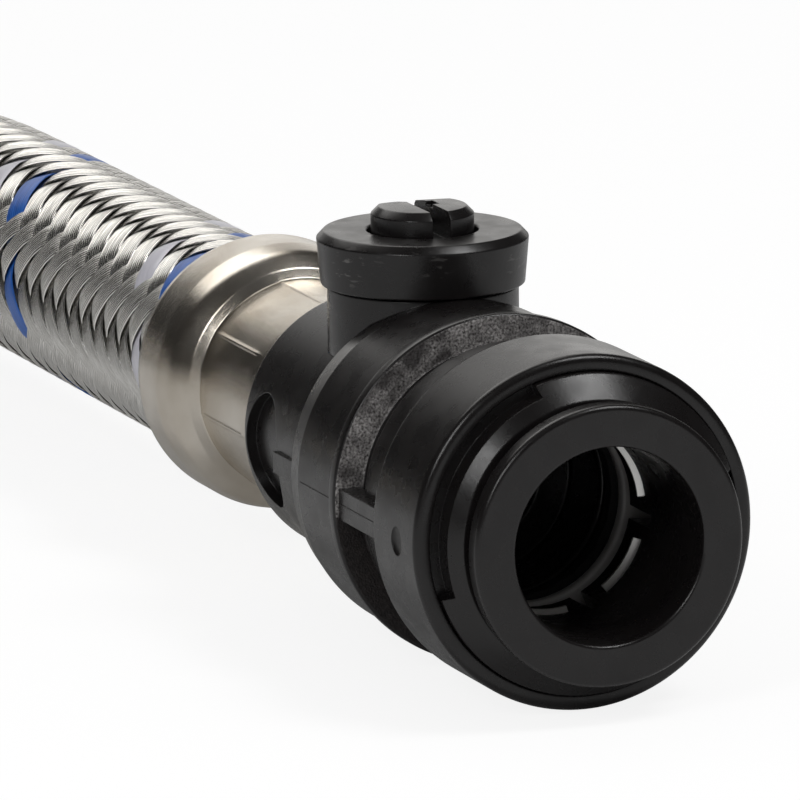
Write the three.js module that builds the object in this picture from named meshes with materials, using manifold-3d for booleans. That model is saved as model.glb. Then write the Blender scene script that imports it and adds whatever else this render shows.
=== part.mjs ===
// A push-fit flexible tap connector with an isolating valve, in millimetres, +Z up.
// The pipe mouth looks along +X, the hose leaves along -X and curves round to a tap nut that looks along -Y.
// The origin lies under the middle of the valve and its ferrule, on the surface that they stand on.
import * as THREE from 'three';
import { mergeVertices } from 'three/addons/utils/BufferGeometryUtils.js';
import Module from 'manifold-3d';

const wasm = await Module();
wasm.setup();

// Fits
const seat_gap = 0.3;
const slide_gap = 0.3;
const seal_gap = 0.15;

// How far a cutting shape runs past the face that it cuts
const cut_over = 1;

// Pipe and collet
const pipe_radius = 7.5;
const pipe_fit = 0.1;
const pipe_insertion = 27.5;
const collet_flange_radius = 10.85;
const collet_flange_thickness = 1.6;
const collet_edge = 0.35;
const collet_wall = 1.4;
const collet_length = 15;
const collet_travel = 1.2;
const finger_count = 6;
const finger_slot_width = 1.6;
const finger_slot_length = 6.2;
const finger_slot_angle = -6.5;
const finger_head_height = 1.2;
const finger_head_length = 2.6;

// Grip teeth
const tooth_plane = 12.2;
const tooth_thickness = 0.5;
const tooth_bite = 0.4;
const tooth_root = 1.7;
const tooth_arc = 35;
const tooth_side_gap = 2;

// End cap
const cap_radius = 12.3;
const cap_face_radius = 10.65;
const cap_shoulder = 1.5;
const cap_length = 9.2;
const cap_cone_length = 2.4;
const cap_cone_height = 1.6;
const notch_depth = 0.7;
const notch_length = 1.1;
const notch_angles = [109, 289];
const notch_arc = 90;

// Valve body, outside
const socket_radius = 13.75;
const socket_edge = 0.5;
const socket_set_back = 5.2;
const socket_length = 8.8;
const pocket_radius = 12.1;
const pocket_length = 8.6;
const flange_thickness = 1.2;
const barrel_radius = 13.3;
const barrel_length = 7.8;
const taper_length = 3.3;
const taper_radius = 12.7;
const chamber_radius = 10.9;
const chamber_end_radius = 10.6;
const body_length = 46.2;
const rib_thickness = 2.4;
const rib_root = 0.2;
const marking_recess = { length: 7.4, height: 9.2, depth: 0.8, centre_z: -0.8, from_end: 4.5 };

// Valve body, inside
const spacer_thickness = 1.2;
const o_ring_section = 3;
const o_ring_squeeze = 0.05;
const seal_bore_radius = 10.9;
const guide_clearance = 0.2;
const waterway_radius = 5;
const cavity_radius = 7.9;

// Ball and seats
const ball_radius = 6.6;
const ball_bore_radius = 4.6;
const seat_depth = 7;
const seat_bore_radius = 4.8;
const seat_lip_radius = 6.4;
const ball_from_face = 38.9;

// Stem and its boss
const boss_radius = 7.5;
const boss_shelf = 13.1;
const spigot_radius = 7;
const spigot_height = 1.9;
const tang_width = 2;
const tang_length = 4.4;
const tang_depth = 1.6;
const tang_root = 0.5;
const stem_radius = 3.9;
const stem_foot = 9.3;
const stem_groove_depth = 0.85;
const stem_seal_section = 1.1;
const stem_seal_heights = [10.6, 12.9];
const collar_radius = 5;
const collar_height = 1;
const collar_foot = 15.2;
const head_radius = 4.05;
const head_top = 19.15;
const head_chamfer = 0.5;
const slot_width = 1.5;
const slot_depth = 1.9;

// Bonnet cap
const bonnet_radius = 8.35;
const bonnet_draft = 0.35;
const bonnet_top = 17.65;
const bonnet_plate = 1.15;
const bonnet_chamfer = 0.42;

// Hose
const hose_radius = 9.1;
const braid_thickness = 0.9;
const liner_thickness = 1.4;
const liner_gap = 0.4;
const hose_sides = 12;
const hose_steps = 20;
const hose_bore_radius = hose_radius - braid_thickness - liner_gap - liner_thickness;

// Ferrules
const ferrule_wall = 0.5;
const ferrule_neck_radius = 8.7;
const ferrule_neck_length = 15.1;
const ferrule_step = { length: 0.6, height: 1.1 };
const ferrule_shoulder = { length: 2, drop: 0.35 };
const ferrule_flare_length = 4.1;
const ferrule_length = 25.1;
const ferrule_bell_radius = 10.95;
const ferrule_mouth = { length: 1.9, edge: 0.5, drop: 0.4 };
const ferrule_lip = 1;

// Hose tails inside the ferrules
const tail_collar_length = 2.5;
const tail_length = 18.3;
const tail_barbs = 4;
const tail_barb_height = 0.5;
const tail_barb_slope = 0.75;
const tail_bore_radius = 4.6;
const nipple_groove = { length: 1.6, depth: 1 };

// Tap end
const nut_across_flats = 24;
const nut_hex_length = 11.5;
const nut_skirt_radius = 11.2;
const nut_skirt_length = 4.5;
const nut_wall = 2.5;
const nut_thread_radius = 9.3;
const nut_stand_off = 0.8;
const nut_edge = 0.5;
const nut_chamfer = 1.05;
const thread_lead_in = 0.8;
const tap_flange_radius = 8.9;
const tap_flange_thickness = 1.8;
const washer_thickness = 2;
const washer_bore_radius = 5.2;

// Facets round a full turn
const body_facets = 40;
const ring_facets = 36;
const bore_facets = 28;
const small_facets = 20;
const seal_facets = 16;
const notch_facets = 14;
const tooth_facets = 4;

// The hose's centre line from the one ferrule to the other: level with the valve over the stretch that shows,
// then down to the surface, round towards -Y and up to the height at which the nut rests on a flat.
const hose_route = [
  [-30.6, 0, 13.75],
  [-43.3, 0, 13.75],
  [-58.3, 0, 13.75],
  [-73.3, 0, 13.75],
  [-87.3, 0, 13.75],
  [-99.3, 0, 13.75],
  [-109.3, -0.3, 13.7],
  [-117.2, -1.4, 13.5],
  [-125, -3.4, 12.9],
  [-132.4, -6.2, 11.9],
  [-139.5, -9.9, 10.8],
  [-146.2, -14.4, 9.8],
  [-152.2, -19.6, 9.3],
  [-157.7, -25.4, 9.2],
  [-162.4, -31.9, 9.2],
  [-166.4, -38.8, 9.2],
  [-169.5, -46.2, 9.5],
  [-171.8, -53.8, 10.4],
  [-173.2, -61.7, 11.4],
  [-173.8, -69.7, 12],
  [-173.8, -76.7, 12],
  [-173.8, -83.9, 12],
];
const tap_end = { x: -173.8, y: -101.2 };

// Places that follow from the sizes. Along the valve, the collet's face is at 0 and the hose lies towards -X.
const bore_radius = pipe_radius + pipe_fit;
const collet_tube_radius = bore_radius + collet_wall;
const cap_face = -collet_flange_thickness - collet_travel - seat_gap;
const cap_bore_radius = collet_tube_radius + slide_gap;
const cap_end = cap_face - cap_length;
const socket_face = -socket_set_back;
const pocket_start = socket_face - socket_length;
const flange_face = pocket_start - pocket_length;
const barrel_start = flange_face - flange_thickness;
const barrel_end = barrel_start - barrel_length;
const body_end = socket_face - body_length;
const spacer_face = -collet_length - collet_travel - seat_gap;
const seal_start = spacer_face - spacer_thickness - seat_gap;
const seal_end = seal_start - o_ring_section - seat_gap;
const ball_x = -ball_from_face;
const cavity_start = ball_x + seat_depth + seat_gap;
const ferrule_front = body_end - seat_gap;
const valve_length = ferrule_length - ferrule_front;
const axis_height = socket_radius;
const collet_face = valve_length / 2;
const nut_height = nut_across_flats / 2;
const tail_groove_radius = ferrule_neck_radius - ferrule_wall - ferrule_lip - slide_gap;

// Geometry helpers

/** Turns a closed outline of [along, radius] pairs about the X axis. */
function turned(outline, facets) {
  const points = outline.map(([along, radius]) => new THREE.Vector2(Math.max(radius, 0), along));
  points.push(points[0].clone());
  return facingOut(new THREE.LatheGeometry(points, facets).rotateZ(-Math.PI / 2));
}

/** Turns a closed outline of [height, radius] pairs about the Z axis. */
function turnedUpright(outline, facets) {
  return turned(outline, facets).rotateY(-Math.PI / 2);
}

/** An outline of [along, radius] pairs that goes round a circle, for a ring of round section. */
function roundSection(along, radius, section_radius, sides) {
  const outline = [];
  for (let side = 0; side < sides; side += 1) {
    const angle = (side + 0.5) / sides * 2 * Math.PI;
    outline.push([along + section_radius * Math.cos(angle), radius + section_radius * Math.sin(angle)]);
  }
  return outline;
}

/** Merges shared vertices and turns the faces outward. */
function facingOut(geometry) {
  geometry.deleteAttribute('normal');
  geometry.deleteAttribute('uv');
  const merged = mergeVertices(geometry, 1e-4);
  const places = merged.getAttribute('position');
  const index = merged.getIndex();
  const corners = [new THREE.Vector3(), new THREE.Vector3(), new THREE.Vector3()];
  const kept = [];
  let volume = 0;
  for (let start = 0; start < index.count; start += 3) {
    const face = [index.getX(start), index.getX(start + 1), index.getX(start + 2)];
    if (face[0] === face[1] || face[1] === face[2] || face[2] === face[0]) continue;
    face.forEach((vertex, corner) => corners[corner].fromBufferAttribute(places, vertex));
    volume += corners[0].dot(corners[1].clone().cross(corners[2]));
    kept.push(face);
  }
  merged.setIndex(kept.flatMap(([a, b, c]) => (volume < 0 ? [a, c, b] : [a, b, c])));
  return merged;
}

function toSolid(geometry) {
  const closed = facingOut(geometry);
  return new wasm.Manifold(new wasm.Mesh({
    numProp: 3,
    vertProperties: new Float32Array(closed.getAttribute('position').array),
    triVerts: new Uint32Array(closed.getIndex().array),
  }));
}

function toGeometry(solid) {
  const mesh = solid.getMesh();
  const geometry = new THREE.BufferGeometry();
  geometry.setAttribute('position', new THREE.BufferAttribute(new Float32Array(mesh.vertProperties), 3));
  geometry.setIndex(new THREE.BufferAttribute(new Uint32Array(mesh.triVerts), 1));
  return geometry;
}

/** Starts from one shape, adds the next ones and then cuts the last ones away. */
function shaped(base, added, cut) {
  let solid = toSolid(base);
  for (const shape of added) solid = solid.add(toSolid(shape));
  for (const shape of cut) solid = solid.subtract(toSolid(shape));
  return toGeometry(solid);
}

/** A block with its middle at a place. */
function block(size, place) {
  return new THREE.BoxGeometry(...size).translate(...place);
}

/** A piece of a ring about the X axis: angles in degrees from +Y towards +Z. */
function ringSector({ inner, outer, start, arc, front, depth, facets }) {
  const from = THREE.MathUtils.degToRad(start);
  const to = THREE.MathUtils.degToRad(start + arc);
  const shape = new THREE.Shape();
  shape.absarc(0, 0, outer, from, to, false);
  shape.absarc(0, 0, inner, to, from, true);
  const geometry = new THREE.ExtrudeGeometry(shape, { depth, bevelEnabled: false, curveSegments: facets });
  const axes = [new THREE.Vector3(0, 1, 0), new THREE.Vector3(0, 0, 1), new THREE.Vector3(1, 0, 0)];
  return geometry.applyMatrix4(new THREE.Matrix4().makeBasis(...axes)).translate(front - depth, 0, 0);
}

/** Turns a geometry about the X axis by degrees. */
function aboutX(geometry, degrees) {
  return geometry.rotateX(THREE.MathUtils.degToRad(degrees));
}

// Materials

const finishes = {
  black_plastic: new THREE.MeshStandardMaterial({ color: 0x2b2829, roughness: 0.45, metalness: 0 }),
  steel: new THREE.MeshStandardMaterial({ color: 0xb9b2a6, roughness: 0.32, metalness: 1 }),
  braid: new THREE.MeshStandardMaterial({ color: 0xb4b3b1, roughness: 0.4, metalness: 0.9 }),
  brass: new THREE.MeshStandardMaterial({ color: 0xc39b52, roughness: 0.35, metalness: 1 }),
  plated_brass: new THREE.MeshStandardMaterial({ color: 0xc9c4ba, roughness: 0.28, metalness: 1 }),
  rubber: new THREE.MeshStandardMaterial({ color: 0x1c1c1c, roughness: 0.85, metalness: 0 }),
  seat_plastic: new THREE.MeshStandardMaterial({ color: 0xe9e7e0, roughness: 0.5, metalness: 0 }),
  ring_plastic: new THREE.MeshStandardMaterial({ color: 0xa7a5a2, roughness: 0.4, metalness: 0 }),
  washer_fibre: new THREE.MeshStandardMaterial({ color: 0x7c2f24, roughness: 0.8, metalness: 0 }),
};

function piece(name, geometry, finish) {
  const mesh = new THREE.Mesh(geometry, finishes[finish].clone());
  mesh.geometry.computeVertexNormals();
  mesh.name = name;
  return mesh;
}

// Valve body: one moulding with the socket, the side pockets, the barrel, the ball chamber and the stem boss

function bodyOutside() {
  return turned([
    [socket_face, waterway_radius],
    [socket_face, socket_radius - socket_edge],
    [socket_face - socket_edge, socket_radius],
    [pocket_start, socket_radius],
    [pocket_start, pocket_radius],
    [flange_face, pocket_radius],
    [flange_face, socket_radius],
    [barrel_start, socket_radius],
    [barrel_start, barrel_radius],
    [barrel_end, barrel_radius],
    [barrel_end - taper_length, taper_radius],
    [barrel_end - taper_length, chamber_radius],
    [body_end + socket_edge, chamber_end_radius],
    [body_end, chamber_end_radius - socket_edge],
    [body_end, waterway_radius],
  ], body_facets);
}

function bodyBores() {
  const cap_seat_radius = cap_radius + seat_gap;
  const cap_seat = cap_end - seat_gap;
  const guide_radius = pipe_radius + guide_clearance;
  const front = turned([
    [socket_face + cut_over, 0],
    [socket_face + cut_over, cap_seat_radius],
    [cap_seat, cap_seat_radius],
    [cap_seat, seal_bore_radius],
    [seal_end, seal_bore_radius],
    [seal_end, guide_radius],
    [-pipe_insertion, guide_radius],
    [-pipe_insertion, waterway_radius],
    [cavity_start + cut_over, waterway_radius],
    [cavity_start + cut_over, 0],
  ], body_facets);
  const cavity = turned([
    [cavity_start + 2 * cut_over, 0],
    [cavity_start + 2 * cut_over, waterway_radius],
    [cavity_start, waterway_radius],
    [cavity_start, cavity_radius],
    [body_end - cut_over, cavity_radius],
    [body_end - cut_over, 0],
  ], bore_facets);
  return [front, cavity];
}

function stemBore() {
  const well_radius = Math.hypot(tang_length, tang_width) / 2 + slide_gap;
  return turnedUpright([
    [ball_radius / 2, 0],
    [ball_radius / 2, well_radius],
    [stem_foot - seat_gap, well_radius],
    [stem_foot - seat_gap, stem_radius + slide_gap],
    [boss_shelf + spigot_height + cut_over, stem_radius + slide_gap],
    [boss_shelf + spigot_height + cut_over, 0],
  ], small_facets).translate(ball_x, 0, 0);
}

function valveBody() {
  const boss = turnedUpright([
    [cavity_radius, 0],
    [cavity_radius, boss_radius],
    [boss_shelf, boss_radius],
    [boss_shelf, spigot_radius],
    [boss_shelf + spigot_height, spigot_radius],
    [boss_shelf + spigot_height, 0],
  ], bore_facets).translate(ball_x, 0, 0);
  const ribs = [1, -1].map((side) => {
    const rib_depth = barrel_radius - (pocket_radius + seal_bore_radius) / 2;
    const size = [pocket_length + 2 * rib_root, rib_depth, rib_thickness];
    return block(size, [(pocket_start + flange_face) / 2, side * (barrel_radius - rib_depth / 2), 0]);
  });
  const recess_shape = new THREE.Shape();
  recess_shape.absellipse(0, 0, marking_recess.length / 2, marking_recess.height / 2, 0, 2 * Math.PI);
  const recess_floor = chamber_end_radius - marking_recess.depth;
  const recess_settings = {
    depth: marking_recess.depth + 2 * cut_over,
    bevelEnabled: false,
    curveSegments: bore_facets / 4,
  };
  const recess = new THREE.ExtrudeGeometry(recess_shape, recess_settings)
    .rotateX(Math.PI / 2)
    .translate(body_end + marking_recess.from_end, -recess_floor, marking_recess.centre_z);
  return shaped(bodyOutside(), [boss, ...ribs], [...bodyBores(), stemBore(), recess]);
}

// End cap: the tapered ring in the mouth, with two shallow sectors let into its rim

function endCap() {
  const cone_start = cap_end + cap_cone_length;
  const ring = turned([
    [cap_face, cap_bore_radius],
    [cap_face, cap_face_radius],
    [cap_face - cap_shoulder, cap_radius],
    [cap_end, cap_radius],
    [cap_end, cap_bore_radius + cap_cone_height],
    [cone_start, cap_bore_radius],
  ], ring_facets);
  const notches = notch_angles.map((start) => ringSector({
    inner: cap_radius - notch_depth,
    outer: cap_radius + cut_over,
    start,
    arc: notch_arc,
    front: cap_face - cap_shoulder + notch_length,
    depth: 2 * notch_length,
    facets: notch_facets,
  }));
  return shaped(ring, [], notches);
}

// Collet: the release ring, its tube and six fingers that carry the teeth

const finger_pitch = 360 / finger_count;
const tooth_middle = finger_slot_angle + finger_pitch / 2;

function collet() {
  const head_radius_out = collet_tube_radius + finger_head_height;
  const head_start = -collet_length + finger_head_length;
  const tube = turned([
    [0, bore_radius + collet_edge / 2],
    [0, collet_flange_radius - collet_edge],
    [-collet_edge, collet_flange_radius],
    [-collet_flange_thickness, collet_flange_radius],
    [-collet_flange_thickness, collet_tube_radius],
    [head_start + finger_head_height, collet_tube_radius],
    [head_start, head_radius_out],
    [-collet_length + collet_edge, head_radius_out],
    [-collet_length, head_radius_out - collet_edge],
    [-collet_length, bore_radius],
    [-collet_edge / 2, bore_radius],
  ], ring_facets);
  const cuts = [];
  for (let finger = 0; finger < finger_count; finger += 1) {
    const reach = finger_head_height + collet_wall + 2 * cut_over;
    const slot = block(
      [finger_slot_length + cut_over, reach, finger_slot_width],
      [-collet_length + (finger_slot_length - cut_over) / 2, bore_radius + reach / 2 - cut_over, 0],
    );
    cuts.push(aboutX(slot, finger_slot_angle + finger * finger_pitch));
    cuts.push(ringSector({
      inner: bore_radius - cut_over,
      outer: bore_radius + tooth_root + seat_gap,
      start: tooth_middle + finger * finger_pitch - tooth_arc / 2 - tooth_side_gap,
      arc: tooth_arc + 2 * tooth_side_gap,
      front: -tooth_plane + tooth_thickness / 2 + seat_gap,
      depth: tooth_thickness + 2 * seat_gap,
      facets: tooth_facets,
    }));
  }
  return shaped(tube, [], cuts);
}

function gripTooth(finger) {
  return facingOut(ringSector({
    inner: bore_radius - tooth_bite,
    outer: bore_radius + tooth_root,
    start: tooth_middle + finger * finger_pitch - tooth_arc / 2,
    arc: tooth_arc,
    front: -tooth_plane + tooth_thickness / 2,
    depth: tooth_thickness,
    facets: tooth_facets,
  }));
}

// Seals behind the collet

function socketSpacer() {
  return turned([
    [spacer_face, bore_radius + pipe_fit],
    [spacer_face, seal_bore_radius - seat_gap],
    [spacer_face - spacer_thickness, seal_bore_radius - seat_gap],
    [spacer_face - spacer_thickness, bore_radius + pipe_fit],
  ], bore_facets);
}

function socketORing() {
  const inner = pipe_radius - o_ring_squeeze;
  const outer = seal_bore_radius - seal_gap;
  const middle = seal_start - o_ring_section / 2;
  const section_radius = Math.min(outer - inner, o_ring_section) / 2;
  return turned(roundSection(middle, (inner + outer) / 2, section_radius, 8), small_facets);
}

// Ball valve

function ballSeat(side) {
  const clear = ball_radius + seat_gap;
  const outline = [[seat_depth, seat_bore_radius], [seat_depth, cavity_radius - seat_gap]];
  outline.push([Math.sqrt(clear ** 2 - seat_lip_radius ** 2), cavity_radius - seat_gap]);
  for (const share of [0, 0.35, 0.7, 1]) {
    const radius = THREE.MathUtils.lerp(seat_lip_radius, seat_bore_radius, share);
    outline.push([Math.sqrt(clear ** 2 - radius ** 2), radius]);
  }
  const ring = turned(outline.map(([along, radius]) => [side * along, radius]), small_facets);
  return facingOut(ring.translate(ball_x, 0, 0));
}

function valveBall() {
  const sphere = new THREE.SphereGeometry(ball_radius, seal_facets, seal_facets / 2).rotateZ(Math.PI / 2);
  const bore = turned([
    [-ball_radius - cut_over, 0],
    [-ball_radius - cut_over, ball_bore_radius],
    [ball_radius + cut_over, ball_bore_radius],
    [ball_radius + cut_over, 0],
  ], small_facets);
  const slot_size = [2 * ball_radius, tang_width + 2 * seat_gap, 2 * (tang_depth + seat_gap)];
  return shaped(sphere, [], [bore, block(slot_size, [0, 0, ball_radius])]);
}

function valveStem() {
  const groove = stem_radius - stem_groove_depth;
  const half = stem_seal_section / 2 + seal_gap;
  const outline = [[stem_foot, 0], [stem_foot, stem_radius]];
  for (const height of stem_seal_heights) {
    outline.push([height - half, stem_radius], [height - half, groove]);
    outline.push([height + half, groove], [height + half, stem_radius]);
  }
  outline.push(
    [collar_foot, stem_radius],
    [collar_foot, collar_radius],
    [collar_foot + collar_height, collar_radius],
    [collar_foot + collar_height, head_radius],
    [head_top - head_chamfer, head_radius],
    [head_top, head_radius - head_chamfer],
    [head_top, 0],
  );
  const tang_foot = ball_radius - tang_depth;
  const tang = block(
    [tang_length, tang_width, stem_foot + tang_root - tang_foot],
    [0, 0, (stem_foot + tang_root + tang_foot) / 2],
  );
  const slot = block([3 * head_radius, slot_width, 2 * slot_depth], [0, 0, head_top]);
  return shaped(turnedUpright(outline, small_facets), [tang], [slot]);
}

function stemORing(height) {
  const inner = stem_radius - stem_groove_depth + seal_gap;
  const outer = stem_radius + slide_gap - seal_gap;
  return turnedUpright(roundSection(height, (inner + outer) / 2, (outer - inner) / 2, 6), seal_facets);
}

function bonnetCap() {
  const skirt_foot = boss_shelf + seat_gap;
  const spigot_clear = spigot_radius + seat_gap;
  const spigot_top = boss_shelf + spigot_height + seat_gap;
  const plate_foot = bonnet_top - bonnet_plate;
  return turnedUpright([
    [skirt_foot, spigot_clear],
    [skirt_foot, bonnet_radius - bonnet_draft - bonnet_chamfer],
    [skirt_foot + bonnet_chamfer, bonnet_radius - bonnet_draft],
    [bonnet_top - bonnet_chamfer, bonnet_radius],
    [bonnet_top, bonnet_radius - bonnet_chamfer],
    [bonnet_top, head_radius + slide_gap],
    [plate_foot, head_radius + slide_gap],
    [plate_foot, collar_radius + slide_gap],
    [spigot_top, collar_radius + slide_gap],
    [spigot_top, spigot_clear],
  ], ring_facets);
}

// Hose ends. Each is modelled from the front of its ferrule, with the hose towards -X.

function ferrule() {
  const neck_bore = ferrule_neck_radius - ferrule_wall;
  const bell_bore = ferrule_bell_radius - ferrule_wall;
  const mouth_bore = hose_radius + seat_gap;
  const rear = -ferrule_length;
  const neck_end = -ferrule_neck_length;
  const bell_start = neck_end - ferrule_flare_length;
  const bell_end = rear + ferrule_mouth.length;
  return turned([
    [0, neck_bore - ferrule_lip],
    [0, ferrule_neck_radius - ferrule_wall],
    [-ferrule_wall, ferrule_neck_radius],
    [neck_end, ferrule_neck_radius],
    [neck_end - ferrule_step.length, ferrule_neck_radius + ferrule_step.height],
    [neck_end - ferrule_shoulder.length, ferrule_bell_radius - ferrule_shoulder.drop],
    [bell_start, ferrule_bell_radius],
    [bell_end, ferrule_bell_radius],
    [rear + ferrule_mouth.edge, ferrule_bell_radius - ferrule_mouth.drop],
    [rear, mouth_bore + ferrule_wall],
    [rear, mouth_bore],
    [bell_end, bell_bore],
    [bell_start, bell_bore],
    [neck_end, neck_bore],
    [-ferrule_lip, neck_bore],
    [-ferrule_lip, neck_bore - ferrule_lip],
  ], bore_facets);
}

/** The outline of a barbed hose tail from its collar back to its tip, outside only. */
function tailOutline() {
  const collar_front = -ferrule_lip - seat_gap;
  const collar_radius_in_ferrule = ferrule_neck_radius - ferrule_wall - seat_gap;
  const barb_top = hose_bore_radius - seat_gap;
  const barb_foot = barb_top - tail_barb_height;
  const barbs_start = collar_front - tail_collar_length;
  const barb_pitch = (barbs_start + tail_length) / tail_barbs;
  const outline = [
    [collar_front, tail_groove_radius],
    [collar_front, collar_radius_in_ferrule],
    [barbs_start, collar_radius_in_ferrule],
    [barbs_start, barb_foot],
  ];
  for (let barb = 1; barb <= tail_barbs; barb += 1) {
    const root = barbs_start - barb * barb_pitch;
    outline.push([root + tail_barb_slope * barb_pitch, barb_top]);
    outline.push([root, barb_foot]);
  }
  return outline;
}

function hoseNipple() {
  const spigot_radius_in_body = cavity_radius - seat_gap;
  const spigot_face = ball_x - seat_depth - seat_gap - ferrule_front;
  const groove_front = (spigot_face + seat_gap + nipple_groove.length) / 2;
  const groove_rear = groove_front - nipple_groove.length;
  const groove_radius = spigot_radius_in_body - nipple_groove.depth;
  return turned([
    [spigot_face, tail_bore_radius],
    [spigot_face, spigot_radius_in_body],
    [groove_front, spigot_radius_in_body],
    [groove_front, groove_radius],
    [groove_rear, groove_radius],
    [groove_rear, spigot_radius_in_body],
    [seat_gap, spigot_radius_in_body],
    [seat_gap, tail_groove_radius],
    ...tailOutline(),
    [-tail_length, tail_bore_radius],
  ], small_facets);
}

function nippleORing() {
  const outer = cavity_radius - seal_gap;
  const inner = cavity_radius - seat_gap - nipple_groove.depth + seal_gap;
  const middle = (ball_x - seat_depth - ferrule_front) / 2;
  return turned(roundSection(middle, (inner + outer) / 2, (outer - inner) / 2, 6), small_facets);
}

const nut_rear = nut_stand_off;
const flange_rear = nut_rear + nut_wall + slide_gap;
const washer_rear = flange_rear + tap_flange_thickness + seat_gap;
const nut_face = nut_rear + nut_skirt_length + nut_hex_length;

function tapNipple() {
  return turned([
    [flange_rear + tap_flange_thickness, tail_bore_radius],
    [flange_rear + tap_flange_thickness, tap_flange_radius],
    [flange_rear, tap_flange_radius],
    [flange_rear, tail_groove_radius],
    ...tailOutline(),
    [-tail_length, tail_bore_radius],
  ], small_facets);
}

function sealingWasher() {
  return turned([
    [washer_rear, washer_bore_radius],
    [washer_rear, tap_flange_radius],
    [washer_rear + washer_thickness, tap_flange_radius],
    [washer_rear + washer_thickness, washer_bore_radius],
  ], small_facets);
}

function couplingNut() {
  const hex_rear = nut_rear + nut_skirt_length;
  const corner_radius = nut_across_flats / 2 / Math.cos(Math.PI / 6);
  const hexagon = new THREE.CylinderGeometry(corner_radius, corner_radius, nut_hex_length, 6)
    .rotateY(Math.PI / 6)
    .rotateZ(-Math.PI / 2)
    .translate(hex_rear + nut_hex_length / 2, 0, 0);
  const skirt = turned([
    [nut_rear, 0],
    [nut_rear, nut_skirt_radius - nut_edge],
    [nut_rear + nut_edge, nut_skirt_radius],
    [hex_rear + nut_edge, nut_skirt_radius],
    [hex_rear + nut_edge, 0],
  ], bore_facets);
  const chamfer_radius = nut_across_flats / 2 + seal_gap;
  const chamfered = turned([
    [hex_rear, 0],
    [hex_rear, chamfer_radius],
    [hex_rear + nut_chamfer, corner_radius + seal_gap],
    [nut_face - nut_chamfer, corner_radius + seal_gap],
    [nut_face, chamfer_radius],
    [nut_face, 0],
  ], bore_facets);
  const bore = turned([
    [nut_rear - cut_over, 0],
    [nut_rear - cut_over, tail_groove_radius + slide_gap],
    [nut_rear + nut_wall, tail_groove_radius + slide_gap],
    [nut_rear + nut_wall, nut_thread_radius],
    [nut_face - thread_lead_in, nut_thread_radius],
    [nut_face + cut_over, nut_thread_radius + thread_lead_in + cut_over],
    [nut_face + cut_over, 0],
  ], bore_facets);
  const whole = toSolid(hexagon).intersect(toSolid(chamfered)).add(toSolid(skirt));
  return toGeometry(whole.subtract(toSolid(bore)));
}

// Hose: a plain tube for the braid and one for the liner

function tubeAlong(points, outer, inner) {
  const places = points.map((point) => new THREE.Vector3(...point));
  const curve = new THREE.CatmullRomCurve3(places, false, 'centripetal');
  const ring = (radius) => Array.from({ length: hose_sides }, (_, side) => {
    const angle = (side + 0.5) / hose_sides * 2 * Math.PI;
    return new THREE.Vector2(radius * Math.cos(angle), radius * Math.sin(angle));
  });
  const section = new THREE.Shape(ring(outer));
  section.holes.push(new THREE.Path(ring(inner)));
  const settings = { steps: hose_steps, extrudePath: curve, bevelEnabled: false };
  return facingOut(new THREE.ExtrudeGeometry(section, settings));
}

function hoseBraid() {
  return tubeAlong(hose_route, hose_radius, hose_radius - braid_thickness);
}

function hoseLiner() {
  const from_lip = ferrule_lip + seat_gap + tail_collar_length + seat_gap;
  const first = [collet_face + ferrule_front - from_lip, 0, axis_height];
  const last = [tap_end.x, tap_end.y + from_lip, nut_height];
  const route = [first, ...hose_route, last];
  return tubeAlong(route, hose_bore_radius + liner_thickness, hose_bore_radius);
}

// Assembly

const tap_connector = new THREE.Group();

const valve = new THREE.Group();
valve.position.set(collet_face, 0, axis_height);
tap_connector.add(valve);
valve.add(
  piece('valve_body', valveBody(), 'black_plastic'),
  piece('end_cap', endCap(), 'black_plastic'),
  piece('collet', collet(), 'black_plastic'),
  piece('socket_spacer', socketSpacer(), 'ring_plastic'),
  piece('socket_o_ring', socketORing(), 'rubber'),
  piece('front_ball_seat', ballSeat(1), 'seat_plastic'),
  piece('rear_ball_seat', ballSeat(-1), 'seat_plastic'),
);
for (let finger = 0; finger < finger_count; finger += 1) {
  valve.add(piece(`grip_tooth_${finger + 1}`, gripTooth(finger), 'steel'));
}

const stem_axis = new THREE.Group();
stem_axis.position.set(ball_x, 0, 0);
valve.add(stem_axis);
stem_axis.add(
  piece('valve_ball', valveBall(), 'plated_brass'),
  piece('valve_stem', valveStem(), 'black_plastic'),
  piece('lower_stem_o_ring', stemORing(stem_seal_heights[0]), 'rubber'),
  piece('upper_stem_o_ring', stemORing(stem_seal_heights[1]), 'rubber'),
  piece('bonnet_cap', bonnetCap(), 'black_plastic'),
);

const valve_hose_end = new THREE.Group();
valve_hose_end.position.set(ferrule_front, 0, 0);
valve.add(valve_hose_end);
valve_hose_end.add(
  piece('hose_nipple', hoseNipple(), 'brass'),
  piece('nipple_o_ring', nippleORing(), 'rubber'),
  piece('valve_ferrule', ferrule(), 'steel'),
);

tap_connector.add(
  piece('hose_liner', hoseLiner(), 'rubber'),
  piece('hose_braid', hoseBraid(), 'braid'),
);

const tap_hose_end = new THREE.Group();
tap_hose_end.position.set(tap_end.x, tap_end.y, nut_height);
tap_hose_end.rotation.z = -Math.PI / 2;
tap_connector.add(tap_hose_end);
tap_hose_end.add(
  piece('tap_ferrule', ferrule(), 'steel'),
  piece('tap_nipple', tapNipple(), 'plated_brass'),
  piece('sealing_washer', sealingWasher(), 'washer_fibre'),
  piece('coupling_nut', couplingNut(), 'plated_brass'),
);

export default tap_connector;
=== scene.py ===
import bpy
import bmesh
import math
import numpy as np
from mathutils import Matrix, Vector


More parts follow.
